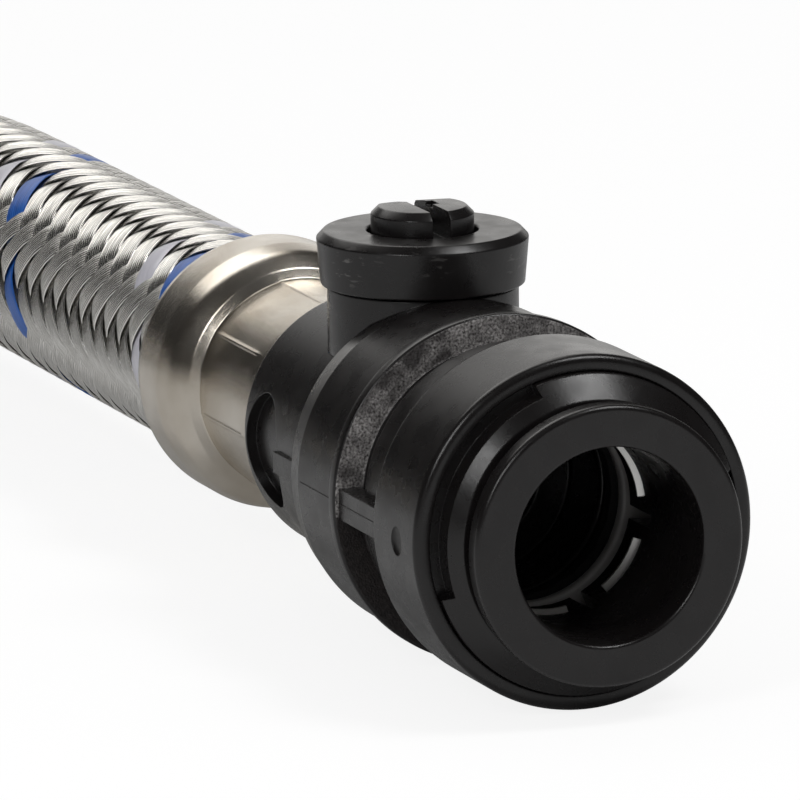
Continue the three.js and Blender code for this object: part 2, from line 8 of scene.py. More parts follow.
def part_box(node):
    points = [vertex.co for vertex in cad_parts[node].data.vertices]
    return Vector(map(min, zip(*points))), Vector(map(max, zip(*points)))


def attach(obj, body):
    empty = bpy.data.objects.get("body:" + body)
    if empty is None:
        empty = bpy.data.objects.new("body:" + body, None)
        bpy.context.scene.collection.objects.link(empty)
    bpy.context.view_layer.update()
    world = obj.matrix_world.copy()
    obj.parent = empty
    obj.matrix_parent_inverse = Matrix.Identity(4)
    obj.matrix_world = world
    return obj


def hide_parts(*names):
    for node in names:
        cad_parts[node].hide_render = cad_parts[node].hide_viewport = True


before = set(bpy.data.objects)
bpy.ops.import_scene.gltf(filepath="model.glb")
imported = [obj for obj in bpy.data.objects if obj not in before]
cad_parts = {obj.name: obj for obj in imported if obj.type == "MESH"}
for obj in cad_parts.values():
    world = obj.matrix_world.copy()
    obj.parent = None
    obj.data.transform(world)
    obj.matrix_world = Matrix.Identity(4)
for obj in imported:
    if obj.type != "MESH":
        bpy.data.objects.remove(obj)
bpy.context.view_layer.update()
scene = bpy.context.scene

# Camera
camera_place = Vector((0.76201, -0.29144, 0.18513))
camera_forward = Vector((-0.91585767, 0.34762743, -0.20089771))
camera_right = Vector((0.35676783, 0.93413918, -0.01003569))
sensor_mm = 36
focal_px = 10640
image_px = 800
nearest_seen, farthest_seen = 0.01, 10

camera_data = bpy.data.cameras.new("camera")
camera_data.sensor_fit = "HORIZONTAL"
camera_data.sensor_width = sensor_mm
camera_data.lens = focal_px * sensor_mm / image_px
camera_data.clip_start = nearest_seen
camera_data.clip_end = farthest_seen
camera = bpy.data.objects.new("camera", camera_data)
scene.collection.objects.link(camera)
camera_up = camera_right.cross(camera_forward)
camera.matrix_world = Matrix.Translation(camera_place) @ Matrix(
    (camera_right, camera_up, -camera_forward)
).transposed().to_4x4()
scene.camera = camera

# The hose: its centre line repeats the CAD's
hose_route_mm = [
    (-30.6, 0, 13.75), (-43.3, 0, 13.75), (-58.3, 0, 13.75), (-73.3, 0, 13.75),
    (-87.3, 0, 13.75), (-99.3, 0, 13.75), (-109.3, -0.3, 13.7), (-117.2, -1.4, 13.5),
    (-125, -3.4, 12.9), (-132.4, -6.2, 11.9), (-139.5, -9.9, 10.8), (-146.2, -14.4, 9.8),
    (-152.2, -19.6, 9.3), (-157.7, -25.4, 9.2), (-162.4, -31.9, 9.2), (-166.4, -38.8, 9.2),
    (-169.5, -46.2, 9.5), (-171.8, -53.8, 10.4), (-173.2, -61.7, 11.4), (-173.8, -69.7, 12),
    (-173.8, -76.7, 12), (-173.8, -83.9, 12),
]

MM = 0.001

# Places read from the frame. Each turns local millimetres into metres, with local X out along the piece.
collet_low, collet_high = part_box("collet")
_, ferrule_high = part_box("valve_ferrule")
tap_ferrule_low, tap_ferrule_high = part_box("tap_ferrule")
axis_height = (collet_low.z + collet_high.z) / 2
valve_place = Matrix.Translation((collet_high.x, 0, axis_height)) @ Matrix.Scale(MM, 4)
ferrule_place = Matrix.Translation((ferrule_high.x, 0, axis_height)) @ Matrix.Scale(MM, 4)
tap_axis_x = (tap_ferrule_low.x + tap_ferrule_high.x) / 2
tap_axis_z = (tap_ferrule_low.z + tap_ferrule_high.z) / 2
tap_place = (
    Matrix.Translation((tap_axis_x, tap_ferrule_low.y, tap_axis_z))
    @ Matrix.Rotation(-math.pi / 2, 4, "Z")
    @ Matrix.Scale(MM, 4)
)
stem_along = -38.9
stem_place = (
    valve_place @ Matrix.Translation((stem_along, 0, 0)) @ Matrix.Rotation(-math.pi / 2, 4, "Y")
)


# Material helpers

def new_material(name):
    made = bpy.data.materials.new(name)
    made.use_nodes = True
    return made, made.node_tree, made.node_tree.nodes["Principled BSDF"]


def add(tree, kind, inputs=None, **settings):
    """Adds a node, with its settings by name and its sockets by name or number."""
    made = tree.nodes.new(kind)
    for key, value in settings.items():
        setattr(made, key, value)
    for key, value in (inputs or {}).items():
        if isinstance(value, bpy.types.NodeSocket):
            tree.links.new(value, made.inputs[key])
        else:
            made.inputs[key].default_value = value
    return made


def noise(tree, scale, detail=3.0, source="Object"):
    """Smooth noise from 0 to 1. scale is per metre on the object, or per unit of the UV map."""
    places = add(tree, "ShaderNodeTexCoord").outputs[source]
    scaled = add(tree, "ShaderNodeMapping", {"Vector": places, "Scale": scale}).outputs["Vector"]
    return add(
        tree, "ShaderNodeTexNoise", {"Vector": scaled, "Scale": 1.0, "Detail": detail}
    ).outputs["Fac"]


def per_spot(size):
    """The noise scale for spots of about this size in mm."""
    return (1 / (size * MM),) * 3


def spread(tree, value, low, high, start=0.3, end=0.7):
    """Spreads a noise value over a range."""
    return add(
        tree,
        "ShaderNodeMapRange",
        {"Value": value, "From Min": start, "From Max": end, "To Min": low, "To Max": high},
    ).outputs["Result"]


def mixed_colour(tree, share, low, high):
    """Goes from one colour to another by a value. Either can be a colour or another node's output."""
    mixed = add(tree, "ShaderNodeMix", data_type="RGBA")
    tree.links.new(share, mixed.inputs["Factor"])
    for socket, colour in ((mixed.inputs[6], low), (mixed.inputs[7], high)):
        if isinstance(colour, bpy.types.NodeSocket):
            tree.links.new(colour, socket)
        else:
            socket.default_value = (*colour, 1)
    return mixed.outputs[2]


def relief(tree, shader, height, depth, normal=None):
    """Bumps a surface by a value from 0 to 1, to a depth in mm."""
    inputs = {"Height": height, "Strength": 1.0, "Distance": depth * MM}
    if normal:
        inputs["Normal"] = normal
    bump = add(tree, "ShaderNodeBump", inputs)
    tree.links.new(bump.outputs["Normal"], shader.inputs["Normal"])


# Moulded pieces
mould_edge = 0.12
moulding_swing = 0.05
gloss_spot = 2
scuff_colour = (0.3, 0.29, 0.28)
scuffed_areas = (130, 130, 170)
scratch_scale = (900, 900, 3600)


def plastic(name, low, high, roughness, grain, grain_depth, patch=6.0, painted_sheen_patch=0.0, scuffs=0.0):
    """Moulded plastic or rubber. grain, its depth and the sizes of the patches are in mm."""
    made, tree, shader = new_material(name)
    patches = spread(tree, noise(tree, per_spot(patch)), 0, 1)
    colour = mixed_colour(tree, patches, low, high)
    # Patches of painted sheen: the colour shows only inside them and falls back to the low colour between
    # them
    if painted_sheen_patch:
        sheen = spread(tree, noise(tree, per_spot(painted_sheen_patch), 2), 0.15, 1, start=0.38, end=0.62)
        colour = mixed_colour(tree, sheen, low, colour)
    if scuffs:
        area = spread(tree, noise(tree, scuffed_areas, 1), 0, 1, start=0.54, end=0.66)
        scratches = spread(tree, noise(tree, scratch_scale, 2), 0, scuffs, start=0.6, end=0.68)
        worn = add(tree, "ShaderNodeMath", {0: area, 1: scratches}, operation="MULTIPLY").outputs[0]
        colour = mixed_colour(tree, worn, colour, scuff_colour)
    tree.links.new(colour, shader.inputs["Base Color"])
    rough = spread(
        tree,
        noise(tree, per_spot(gloss_spot), 4),
        roughness - moulding_swing,
        roughness + moulding_swing,
    )
    tree.links.new(rough, shader.inputs["Roughness"])
    rounded_edge = add(tree, "ShaderNodeBevel", {"Radius": mould_edge * MM}, samples=6)
    relief(tree, shader, noise(tree, per_spot(grain), 2), grain_depth, rounded_edge.outputs["Normal"])
    return made


black_low, black_high = (0.0068, 0.0056, 0.0057), (0.01, 0.0088, 0.0088)
black_plastic = plastic("black_plastic", black_low, black_high, 0.28, 0.3, 0.004)
scuffed_plastic = plastic("scuffed_plastic", black_low, black_high, 0.3, 0.3, 0.006, scuffs=0.35)
# Lit spark-eroded wall: its bright flecks are painted glints, shown in patches of painted sheen
spark_plastic = plastic(
    "spark_plastic", (0.025, 0.022, 0.022), (0.5, 0.48, 0.47), 0.2, 0.14, 0.09,
    patch=0.2, painted_sheen_patch=2.4,
)
# Darker copy of the spark-eroded plastic: painted shade for the wall below the ribs
shaded_spark_plastic = plastic(
    "shaded_spark_plastic", (0.012, 0.01, 0.01), (0.03, 0.025, 0.024), 0.4, 0.16, 0.06, patch=0.3
)
ring_plastic = plastic("ring_plastic", (0.36, 0.35, 0.34), (0.46, 0.45, 0.44), 0.36, 0.4, 0.003)
seat_plastic = plastic("seat_plastic", (0.78, 0.76, 0.72), (0.84, 0.83, 0.8), 0.42, 0.4, 0.002)
rubber = plastic("rubber", (0.012, 0.012, 0.012), (0.02, 0.02, 0.02), 0.6, 0.3, 0.006)
fibre = plastic("washer_fibre", (0.2, 0.05, 0.035), (0.3, 0.085, 0.06), 0.75, 0.25, 0.03)

# Turned and pressed metal
turning_scale = (3, 900, 1)
turning_depth = 0.004
turning_swing = 0.06
tarnish_scale = (220, 220, 220)


def metal(name, low, high, roughness):
    """Metal with turning marks that run round the piece, by its UV map in millimetres."""
    made, tree, shader = new_material(name)
    shader.inputs["Metallic"].default_value = 1.0
    streaks = noise(tree, turning_scale, 4, "UV")
    patches = spread(tree, noise(tree, tarnish_scale), 0, 1)
    tree.links.new(mixed_colour(tree, patches, low, high), shader.inputs["Base Color"])
    rough = spread(tree, streaks, roughness - turning_swing, roughness + turning_swing)
    tree.links.new(rough, shader.inputs["Roughness"])
    relief(tree, shader, streaks, turning_depth)
    return made


steel = metal("steel", (0.54, 0.485, 0.41), (0.7, 0.655, 0.585), 0.22)
edge_steel = metal("edge_steel", (0.82, 0.81, 0.78), (0.9, 0.89, 0.87), 0.34)
brass = metal("brass", (0.58, 0.40, 0.15), (0.66, 0.47, 0.2), 0.3)
plated_brass = metal("plated_brass", (0.62, 0.60, 0.56), (0.7, 0.68, 0.65), 0.22)

# Ribbons of the braid
wires_in_ribbon = 9
ribbon_patch_scale = (9, 0.35, 1)


def ribbon_material(name, low, high, roughness, metallic, wire_depth):
    """A flat bundle of wires that lie side by side across the ribbon, by its UV map."""
    made, tree, shader = new_material(name)
    shader.inputs["Metallic"].default_value = metallic
    shader.inputs["Roughness"].default_value = roughness
    across = add(
        tree,
        "ShaderNodeSeparateXYZ",
        {"Vector": add(tree, "ShaderNodeTexCoord").outputs["UV"]},
    ).outputs["X"]
    turn = add(
        tree, "ShaderNodeMath", {0: across, 1: wires_in_ribbon * math.pi}, operation="MULTIPLY"
    ).outputs[0]
    wave = add(tree, "ShaderNodeMath", {0: turn}, operation="SINE").outputs[0]
    ridge = add(tree, "ShaderNodeMath", {0: wave}, operation="ABSOLUTE").outputs[0]
    patches = spread(tree, noise(tree, ribbon_patch_scale, 2, "UV"), 0, 1)
    tree.links.new(mixed_colour(tree, patches, low, high), shader.inputs["Base Color"])
    relief(tree, shader, ridge, wire_depth)
    return made


wire = ribbon_material("braid_wire", (0.62, 0.605, 0.57), (0.98, 0.965, 0.93), 0.26, 1.0, 0.06)
blue_tracer = ribbon_material("blue_tracer", (0.012, 0.09, 0.38), (0.02, 0.14, 0.55), 0.32, 0.0, 0.02)
white_tracer = ribbon_material("white_tracer", (0.62, 0.61, 0.67), (0.68, 0.67, 0.73), 0.3, 0.0, 0.004)


# Mesh helpers
fillet_steps = 4
flattest_corner = math.radians(88)
fillet_share = 0.48


def outward(mesh_object):
    """Turns all faces of a closed mesh outwards."""
    mesh = mesh_object.data
    work = bmesh.new()
    work.from_mesh(mesh)
    bmesh.ops.recalc_face_normals(work, faces=work.faces)
    if work.calc_volume(signed=True) < 0:
        bmesh.ops.reverse_faces(work, faces=work.faces)
    work.to_mesh(mesh)
    work.free()


def new_object(name, verts, faces, uvs=None):
    mesh = bpy.data.meshes.new(name)
    mesh.from_pydata(verts, [], faces)
    if uvs:
        layer = mesh.uv_layers.new(name="UVMap")
        flat = [value for face in uvs for pair in face for value in pair]
        layer.data.foreach_set("uv", flat)
    mesh.update()
    made = bpy.data.objects.new(name, mesh)
    scene.collection.objects.link(made)
    return made


def new_solid(name, verts, faces, uvs=None):
    made = new_object(name, verts, faces, uvs)
    outward(made)
    return made


def finish_piece(mesh_object, body, nodes, materials, sharp=35):
    """Shades a piece, gives it its materials and ties it to the frame."""
    mesh = mesh_object.data
    mesh.materials.clear()
    for entry in materials:
        mesh.materials.append(entry)
    mesh.shade_smooth()
    mesh.set_sharp_from_angle(angle=math.radians(sharp))
    weighted = mesh_object.modifiers.new("normals", "WEIGHTED_NORMAL")
    weighted.keep_sharp = True
    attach(mesh_object, body)
    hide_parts(*nodes)


def rounded(outline):
    """Turns an outline of (along, radius, fillet) into points, with an arc at each filleted corner."""
    points = []
    for index, (along, radius, fillet) in enumerate(outline):
        here = Vector((along, radius))
        back = Vector(outline[index - 1][:2]) - here
        ahead = Vector(outline[(index + 1) % len(outline)][:2]) - here
        half = back.angle(ahead) / 2
        if fillet <= 0 or half > flattest_corner:
            points.append(here)
            continue
        cut = min(fillet / math.tan(half), fillet_share * back.length, fillet_share * ahead.length)
        arc_radius = cut * math.tan(half)
        inward = (back.normalized() + ahead.normalized()).normalized()
        centre = here + inward * (arc_radius / math.sin(half))
        start = here + back.normalized() * cut - centre
        end = here + ahead.normalized() * cut - centre
        sweep = start.angle(end)
        for step in range(fillet_steps + 1):
            share = step / fillet_steps
            mix = (
                start * math.sin((1 - share) * sweep) + end * math.sin(share * sweep)
            ) / math.sin(sweep)
            points.append(centre + mix)
    return points


def on_circle(place, along, radius, angle):
    """A point about the local X axis, with its angle from local Y towards local Z."""
    return place @ Vector((along, radius * math.cos(angle), radius * math.sin(angle)))


def ring_mesh(name, points, facets, place, radius_at=None):
    """A closed outline turned about the local X axis. radius_at can change a radius by place and angle."""
    verts, faces, uvs = [], [], []
    count = len(points)
    walked = [0.0]
    for index in range(count):
        walked.append(walked[-1] + (points[(index + 1) % count] - points[index]).length)
    for point in points:
        for facet in range(facets):
            angle = facet / facets * math.tau
            radius = point.y + (radius_at(point.x, angle, point.y) if radius_at else 0)
            verts.append(on_circle(place, point.x, radius, angle))
    for index in range(count):
        following = (index + 1) % count
        for facet in range(facets):
            beside = (facet + 1) % facets
            faces.append((
                index * facets + facet,
                following * facets + facet,
                following * facets + beside,
                index * facets + beside,
            ))
            left, right = facet / facets, (facet + 1) / facets
            uvs.append((
                (left, walked[index]),
                (left, walked[index + 1]),
                (right, walked[index + 1]),
                (right, walked[index]),
            ))
    return new_solid(name, verts, faces, uvs)


def turned(name, outline, facets, place=valve_place, radius_at=None):
    return ring_mesh(name, rounded(outline), facets, place, radius_at)


def solid_of_revolution(name, outline, facets, place):
    """An outline that starts and ends on the axis, closed by a fan at each end."""
    beyond = [(outline[0][0] - 1, 0, 0), *outline, (outline[-1][0] + 1, 0, 0)]
    points = rounded(beyond)[1:-1]
    rings = points[1:-1]
    verts = [place @ Vector((points[0].x, 0, 0)), place @ Vector((points[-1].x, 0, 0))]
    for point in rings:
        for facet in range(facets):
            verts.append(on_circle(place, point.x, point.y, facet / facets * math.tau))
    first = 2
    last = first + (len(rings) - 1) * facets
    faces = []
    for facet in range(facets):
        beside = (facet + 1) % facets
        faces.append((0, first + facet, first + beside))
        faces.append((1, last + beside, last + facet))
        for low in range(first, last, facets):
            high = low + facets
            faces.append((low + facet, high + facet, high + beside, low + beside))
    return new_solid(name, verts, faces)


def box_solid(name, size, middle, place, turn=Matrix.Identity(4)):
    corners = [
        Vector((x * size[0] / 2, y * size[1] / 2, z * size[2] / 2))
        for x in (-1, 1) for y in (-1, 1) for z in (-1, 1)
    ]
    verts = [place @ (turn @ (corner + Vector(middle))) for corner in corners]
    faces = [(0, 1, 3, 2), (4, 6, 7, 5), (0, 4, 5, 1), (2, 3, 7, 6), (0, 2, 6, 4), (1, 5, 7, 3)]
    return new_solid(name, verts, faces)


def ring_sector(name, inner, outer, start, arc, front, depth, facets=24, lean=0.0):
    """A piece of a ring about the axis, in degrees from +Y towards +Z. lean moves its inner edge back."""
    corners = (
        (front - lean, inner), (front, outer), (front - depth, outer), (front - depth - lean, inner),
    )
    count = len(corners)
    verts, faces = [], []
    for n in range(facets + 1):
        angle = math.radians(start + arc * n / facets)
        for along, radius in corners:
            verts.append(on_circle(valve_place, along, radius, angle))
    for n in range(facets):
        for corner in range(count):
            following = (corner + 1) % count
            faces.append((
                count * n + corner,
                count * n + following,
                count * (n + 1) + following,
                count * (n + 1) + corner,
            ))
    faces.append(tuple(reversed(range(count))))
    faces.append(tuple(count * facets + corner for corner in range(count)))
    return new_solid(name, verts, faces)


def elliptic_cutter(name, length, height, along, rise, near, far, sides=48):
    """A cutter with an elliptic section that enters the body from its -Y side."""
    verts = []
    for distance in (near, far):
        for n in range(sides):
            angle = n / sides * math.tau
            verts.append(valve_place @ Vector((
                along + length / 2 * math.cos(angle), -distance, rise + height / 2 * math.sin(angle)
            )))
    faces = [tuple(range(sides)), tuple(range(2 * sides - 1, sides - 1, -1))]
    faces += [(n, sides + n, sides + (n + 1) % sides, (n + 1) % sides) for n in range(sides)]
    return new_solid(name, verts, faces)


def combined(base, others, operation):
    """Joins or cuts a closed solid with others, and removes the others."""
    for other in others:
        step = base.modifiers.new("solid", "BOOLEAN")
        step.operation = operation
        step.solver = "EXACT"
        step.object = other
    bpy.context.view_layer.update()
    evaluated = base.evaluated_get(bpy.context.evaluated_depsgraph_get())
    mesh = bpy.data.meshes.new_from_object(evaluated)
    base.modifiers.clear()
    old = base.data
    base.data = mesh
    bpy.data.meshes.remove(old)
    for other in others:
        bpy.data.objects.remove(other)


# Sizes of the valve in mm. Places along it count from the collet's face, and radii from its axis.
socket_front, socket_back = -5.2, -14.5
socket_radius = 13.75
cap_seat_back = -12.6
cap_seat_radius = 12.5
collet_seat_radius = 10.9
seal_seat_front, seal_seat_back = -17.9, -21.3
seal_seat_radius = 10.65
pipe_stop = -27.5
pipe_bore_radius = 7.7
waterway_radius = 5
cavity_front = -31.6
cavity_radius = 7.9
pocket_front_radius, pocket_back_radius = 12.25, 12.2
groove_front = -20.4
groove_radius = 11.3
flange_front, flange_back = -22.6, -23.8
barrel_back = -31.6
barrel_radius = 13.3
taper_back = -34.9
taper_radius = 12.7
chamber_front_radius, chamber_back_radius = 10.9, 10.6
body_back = -51.4

# Heights over the valve's axis, and radii from the stem's
boss_foot, boss_top = 8, 13.25
boss_radius = 7.5
spigot_top = 15
spigot_radius = 7
stem_bore_foot, stem_bore_top = 3, 17
stem_seal_foot = 9
stem_seal_radius = 4.2
stem_shaft_radius = 2.7

# Facets round each piece
body_facets = 160
collet_facets = 144
spacer_facets = 128
stem_facets = 96
stem_bore_facets = 64
dimple_facets = 32
bonnet_facets = 144
ferrule_facets = 480
nut_facets = 192

# Valve body
body = turned("valve_body_moulding", [
    (socket_front, cap_seat_radius, 0.15),
    (socket_front, socket_radius, 0.9),
    (socket_back, socket_radius, 1.1),
    (socket_back, pocket_front_radius, 0.35),
    (groove_front, pocket_back_radius, 0.45),
    (groove_front, groove_radius, 0.2),
    (flange_front, groove_radius, 0.3),
    (flange_front, socket_radius, 0.25),
    (flange_back, socket_radius, 0.35),
    (flange_back, barrel_radius, 0.2),
    (barrel_back, barrel_radius, 0.3),
    (taper_back, taper_radius, 0.5),
    (taper_back, chamber_front_radius, 0.3),
    (body_back, chamber_back_radius, 0.6),
    (body_back, cavity_radius, 0.3),
    (cavity_front, cavity_radius, 0.2),
    (cavity_front, waterway_radius, 0.3),
    (pipe_stop, waterway_radius, 0.3),
    (pipe_stop, pipe_bore_radius, 0.2),
    (seal_seat_back, pipe_bore_radius, 0.4),
    (seal_seat_back, seal_seat_radius, 0.3),
    (seal_seat_front, seal_seat_radius, 0.1),
    (seal_seat_front, collet_seat_radius, 0.1),
    (cap_seat_back, collet_seat_radius, 0.3),
    (cap_seat_back, cap_seat_radius, 0.2),
], body_facets)
boss = solid_of_revolution("boss", [
    (boss_foot, 0, 0),
    (boss_foot, boss_radius, 0),
    (boss_top, boss_radius, 0.12),
    (boss_top, spigot_radius, 0),
    (spigot_top, spigot_radius, 0.3),
    (spigot_top, 0, 0),
], stem_facets, stem_place)

rib_size = (9.4, 2.4, 2.4)
rib_along, rib_out = -18.3, 12.1
ribs = [box_solid("rib", rib_size, (rib_along, side * rib_out, 0), valve_place) for side in (1, -1)]

pad_size = (9, 1.4, 1.7)
pad_along, pad_out, pad_rise = -39.2, 10.36, -0.9
pads = [
    box_solid("pad", pad_size, (pad_along, side * pad_out, pad_rise), valve_place) for side in (1, -1)
]

# The mould's parting line stands out as a thin seam: its length, middle and radius on each stretch
seam_stretches = ((7, -9.8, 13.72), (8.6, -18.6, 13.3), (7, -27.7, 13.3))
seam_width, seam_depth, seam_sunk = 0.12, 0.5, 0.22
seams = [
    box_solid(
        "seam", (length, seam_depth, seam_width), (middle, side * (radius - seam_sunk), 0), valve_place
    )
    for side in (1, -1) for length, middle, radius in seam_stretches
]

# An oval recess in the chamber's side, with a floor that follows the chamber
recess_length, recess_height = 7.4, 9.2
recess_along, recess_rise = -46.9, -0.8
recess_floor_back, recess_floor_front = -60, -40
recess_floor_radius = 9.75
recess = elliptic_cutter(
    "recess", recess_length, recess_height, recess_along, recess_rise, near=7, far=13
)
recess_floor = solid_of_revolution("recess_floor", [
    (recess_floor_back, 0, 0),
    (recess_floor_back, recess_floor_radius, 0),
    (recess_floor_front, recess_floor_radius, 0),
    (recess_floor_front, 0, 0),
], stem_facets, valve_place)
combined(recess, [recess_floor], "DIFFERENCE")

# A round dimple in the socket's side
dimple_half_size = (1.05, 0.32, 1.15)
dimple_along, dimple_rise = -9.1, -0.2
dimple_steps = 16
dimple_place = (
    valve_place
    @ Matrix.Translation((dimple_along, -socket_radius, dimple_rise))
    @ Matrix.Diagonal((*dimple_half_size, 1))
)
dimple = solid_of_revolution("dimple", [
    (-math.cos(n / dimple_steps * math.pi), math.sin(n / dimple_steps * math.pi), 0)
    for n in range(dimple_steps + 1)
], dimple_facets, dimple_place)

stem_bore = solid_of_revolution("stem_bore", [
    (stem_bore_foot, 0, 0),
    (stem_bore_foot, stem_shaft_radius, 0),
    (stem_seal_foot, stem_shaft_radius, 0),
    (stem_seal_foot, stem_seal_radius, 0),
    (stem_bore_top, stem_seal_radius, 0),
    (stem_bore_top, 0, 0),
], stem_bore_facets, stem_place)

combined(body, [boss, *ribs, *pads, *seams], "UNION")
combined(body, [recess, dimple, stem_bore], "DIFFERENCE")
finish_piece(
    body, "valve", ["valve_body"], [black_plastic, spark_plastic, shaded_spark_plastic]
)

# The flange's front wall is spark textured: the lit copy, with painted glints, above, and a darker copy
# below the ribs as painted shade
wall_inner, wall_outer = 11.4, 13.6
wall_reach = 0.15
shaded_below = -1
for polygon in body.data.polygons:
    middle = valve_place.inverted() @ polygon.center
    from_axis = math.hypot(middle.y, middle.z)
    on_wall = abs(middle.x - flange_front) < wall_reach and wall_inner < from_axis < wall_outer
    polygon.material_index = (1 if middle.z > shaded_below else 2) if on_wall else 0

# End cap, with a notch on each side of its cone
cap_front, cap_back = -3.1, -12.3
cap_bore_radius = 9.3
cap_face_radius = 10.65
cap_radius = 12.45
cap_cone_back = -4.75
cap_shelf_front, cap_shelf_radius = -9.9, 10.9
notch_starts = (109, 289)
cap = turned("end_cap_ring", [
    (cap_front, cap_bore_radius, 0.25),
    (cap_front, cap_face_radius, 0.3),
    (cap_cone_back, cap_radius, 0.3),
    (cap_back, cap_radius, 0.2),
    (cap_back, cap_shelf_radius, 0.1),
    (cap_shelf_front, cap_bore_radius, 0.2),
], body_facets)
notches = [
    ring_sector("notch", inner=11.6, outer=13.5, start=start, arc=90, front=-3.5, depth=2.2)
    for start in notch_starts
]
combined(cap, notches, "DIFFERENCE")
finish_piece(cap, "valve", ["end_cap"], [black_plastic])

# Collet, with a slot between its fingers and a window for the tooth in each finger
collet_bore_radius = 7.6
collet_flange_radius = 10.85
collet_flange_back = -1.6
collet_tube_radius = 9.0
finger_head_radius = 10.2
finger_slope_front, finger_slope_back = -11.2, -12.4
collet_back = -15
finger_count = 6
finger_step = 360 / finger_count
slot_angle = -6.5
slot_size = (5.4, 4.6, 1.05)
slot_along, slot_out = -13.2, 8.9
tooth_arc = 35
tooth_side_gap = 2
tooth_front = -11.95
tooth_start = slot_angle + finger_step / 2 - tooth_arc / 2

collet = turned("collet_ring", [
    (0, collet_bore_radius, 0.3),
    (0, collet_flange_radius, 0.45),
    (collet_flange_back, collet_flange_radius, 0.15),
    (collet_flange_back, collet_tube_radius, 0.2),
    (finger_slope_front, collet_tube_radius, 0.2),
    (finger_slope_back, finger_head_radius, 0.2),
    (collet_back, finger_head_radius, 0.4),
    (collet_back, collet_bore_radius, 0.2),
], collet_facets)
collet_cuts = []
for finger in range(finger_count):
    turn = Matrix.Rotation(math.radians(slot_angle + finger_step * finger), 4, "X")
    collet_cuts.append(box_solid("slot", slot_size, (slot_along, slot_out, 0), valve_place, turn))
    collet_cuts.append(ring_sector(
        "window",
        inner=6.6,
        outer=9.5,
        start=tooth_start + finger_step * finger - tooth_side_gap,
        arc=tooth_arc + 2 * tooth_side_gap,
        front=-11.65,
        depth=1.5,
        facets=12,
    ))
combined(collet, collet_cuts, "DIFFERENCE")
finish_piece(collet, "collet", ["collet"], [black_plastic])

# Steel teeth, which lean into the pipe's way
for finger in range(finger_count):
    tooth = ring_sector(
        f"steel_tooth_{finger + 1}",
        inner=7.36,
        outer=9.2,
        start=tooth_start + finger_step * finger,
        arc=tooth_arc,
        front=tooth_front,
        depth=0.28,
        lean=0.65,
    )
    finish_piece(tooth, "collet", [f"grip_tooth_{finger + 1}"], [edge_steel])

# Pale ring behind the collet
spacer_front, spacer_back = -16.5, -17.7
spacer_bore_radius, spacer_radius = 7.7, 10.6
spacer = turned("spacer_ring", [
    (spacer_front, spacer_bore_radius, 0.3),
    (spacer_front, spacer_radius, 0.3),
    (spacer_back, spacer_radius, 0.3),
    (spacer_back, spacer_bore_radius, 0.3),
], spacer_facets)
finish_piece(spacer, "valve", ["socket_spacer"], [ring_plastic])

# Bonnet cap over the boss
bonnet_foot, bonnet_top = 13.4, 17.65
bonnet_foot_radius, bonnet_rim_radius, bonnet_face_radius = 8.0, 8.32, 7.75
bonnet_rim_height = 17.05
bonnet_lip_foot, bonnet_roof = 16.5, 15.3
bonnet_hole_radius = 4.35
bonnet_collar_radius = 5.3
bonnet_inner_radius = 7.3
bonnet = turned("bonnet_cover", [
    (bonnet_foot, bonnet_inner_radius, 0.1),
    (bonnet_foot, bonnet_foot_radius, 0.16),
    (bonnet_rim_height, bonnet_rim_radius, 0.2),
    (bonnet_top, bonnet_face_radius, 0.2),
    (bonnet_top, bonnet_hole_radius, 0.25),
    (bonnet_lip_foot, bonnet_hole_radius, 0.1),
    (bonnet_lip_foot, bonnet_collar_radius, 0.1),
    (bonnet_roof, bonnet_collar_radius, 0.1),
    (bonnet_roof, bonnet_inner_radius, 0.1),
], bonnet_facets, stem_place)
finish_piece(bonnet, "valve", ["bonnet_cap"], [scuffed_plastic])

# Stem, with its seal grooves, collar and screwdriver slot
stem_foot, stem_top = 9.3, 19.5
stem_radius = 3.9
stem_groove_radius = 3.05
stem_grooves = ((9.9, 11.3), (12.2, 13.6))
collar_foot, collar_top = 15.2, 16.2
collar_radius = 5
head_radius, head_top_radius = 4.05, 3.45
head_shoulder = 18.9
tang_size, tang_rise = (4.4, 2, 4.8), 7.4
driver_slot_size, driver_slot_middle = (12, 1.5, 4), (stem_along, 0.1, 19.25)
chip_size, chip_middle = (1.5, 0.8, 0.7), (-39.6, 1.0, stem_top)
wear_along, wear_tilt = -40.6, math.radians(-9)
wear_size = (8, 12, 2)
stem_outline = [(stem_foot, 0, 0), (stem_foot, stem_radius, 0.3)]
for groove_foot, groove_top in stem_grooves:
    stem_outline += [
        (groove_foot, stem_radius, 0),
        (groove_foot, stem_groove_radius, 0),
        (groove_top, stem_groove_radius, 0),
        (groove_top, stem_radius, 0),
    ]
stem_outline += [
    (collar_foot, stem_radius, 0),
    (collar_foot, collar_radius, 0.1),
    (collar_top, collar_radius, 0.1),
    (collar_top, head_radius, 0.1),
    (head_shoulder, head_radius, 0.15),
    (stem_top, head_top_radius, 0.12),
    (stem_top, 0, 0),
]
stem = solid_of_revolution("slotted_stem", stem_outline, stem_facets, stem_place)
tang = box_solid("tang", tang_size, (stem_along, 0, tang_rise), valve_place)
driver_slot = box_solid("slot", driver_slot_size, driver_slot_middle, valve_place)
chip = box_solid("chip", chip_size, chip_middle, valve_place)
wear_place = (
    valve_place
    @ Matrix.Translation((wear_along, 0, stem_top))
    @ Matrix.Rotation(wear_tilt, 4, "Y")
)
worn_top = box_solid("worn_top", wear_size, (-wear_size[0] / 2, 0, wear_size[2] / 2), wear_place)
combined(stem, [tang], "UNION")
combined(stem, [driver_slot, chip, worn_top], "DIFFERENCE")
finish_piece(stem, "stem", ["valve_stem"], [black_plastic])

